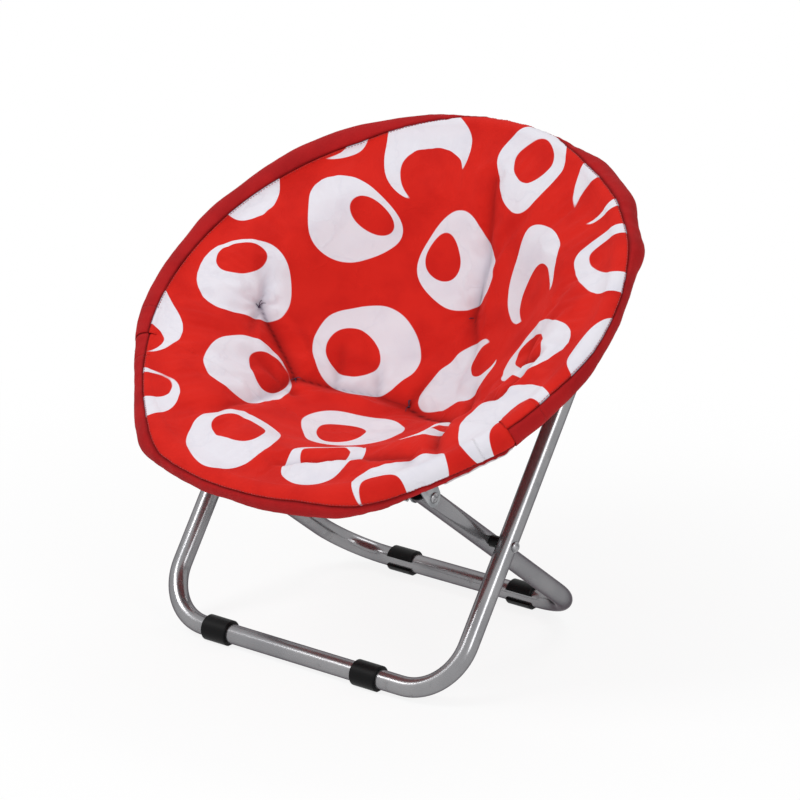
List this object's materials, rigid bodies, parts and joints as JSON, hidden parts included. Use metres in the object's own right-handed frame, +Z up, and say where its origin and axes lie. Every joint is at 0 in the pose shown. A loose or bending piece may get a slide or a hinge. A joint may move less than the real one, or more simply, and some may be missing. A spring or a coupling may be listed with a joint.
{
  "type": "folding moon chair",
  "caption": "Folding round bowl chair: a padded fabric bowl in a tilted hoop that folds in two, on two crossed U-shaped tube legs.",
  "frame": {"origin": "on the floor under the middle of the hoop, at the bottom centre of the open chair", "axes": "+X sideways along the bars, to the sitter's left; +Y to the back of the chair; +Z up"},
  "size_m": [0.6522, 0.5579, 0.6079],
  "materials": {
    "leg_paint": "glossy silver-grey paint",
    "bracket_steel": "zinc-plated sheet, slightly dull",
    "rivet_steel": "plated, bright",
    "black_plastic": "black moulded plastic, satin",
    "cover_fabric": "padded bright red woven fabric with a loose white print",
    "sleeve_fabric": "plain dark red woven fabric"
  },
  "bodies": {
    "front_legs": {"front_leg_frame": "leg_paint", "front_leg_end_plugs": "black_plastic", "front_foot_clip_left": "black_plastic", "front_foot_clip_right": "black_plastic", "crossing_rivets_outer": "rivet_steel", "crossing_spacers": "black_plastic"},
    "rear_legs": {"rear_leg_frame": "leg_paint", "rear_leg_end_plugs": "black_plastic", "rear_foot_clip_left": "black_plastic", "rear_foot_clip_right": "black_plastic", "crossing_rivets_inner": "rivet_steel"},
    "back_hoop": {"back_hoop_tube": "leg_paint", "back_bracket_left": "bracket_steel", "back_bracket_right": "bracket_steel", "back_bracket_rivets": "rivet_steel", "back_bracket_washers": "black_plastic", "back_bracket_screws": "rivet_steel", "back_hinge_knuckles": "bracket_steel", "hoop_hinge_pins": "rivet_steel", "back_rim_sleeve": "sleeve_fabric", "seat_cover_back": "cover_fabric"},
    "front_hoop": {"front_hoop_tube": "leg_paint", "front_bracket_left": "bracket_steel", "front_bracket_right": "bracket_steel", "front_bracket_rivets": "rivet_steel", "front_bracket_washers": "black_plastic", "front_bracket_screws": "rivet_steel", "front_hinge_knuckles": "bracket_steel", "front_rim_sleeve": "sleeve_fabric", "seat_cover_front": "cover_fabric"}
  },
  "joints": [
    {"name": "back_pivot", "type": "hinge", "parent": "front_legs", "child": "back_hoop", "pos_m": [0, 0.1766, 0.47889], "axis": [1, 0, 0], "range_deg": [0, 28.95]},
    {"name": "seat_fold", "type": "hinge", "parent": "back_hoop", "child": "front_hoop", "pos_m": [0, -0.11237, 0.35729], "axis": [-1, 0, 0], "range_deg": [0, 165], "deforming": ["seat_cover_back", "seat_cover_front"]},
    {"name": "front_pivot", "type": "hinge", "parent": "front_hoop", "child": "rear_legs", "pos_m": [0, -0.15795, 0.26984], "axis": [1, 0, 0], "range_deg": [0, 85.64]}
  ],
  "couplings": [
    {"joint": "back_pivot", "follows": "seat_fold", "ratio": 0.17541},
    {"joint": "front_pivot", "follows": "seat_fold", "ratio": 0.51898}
  ]
}
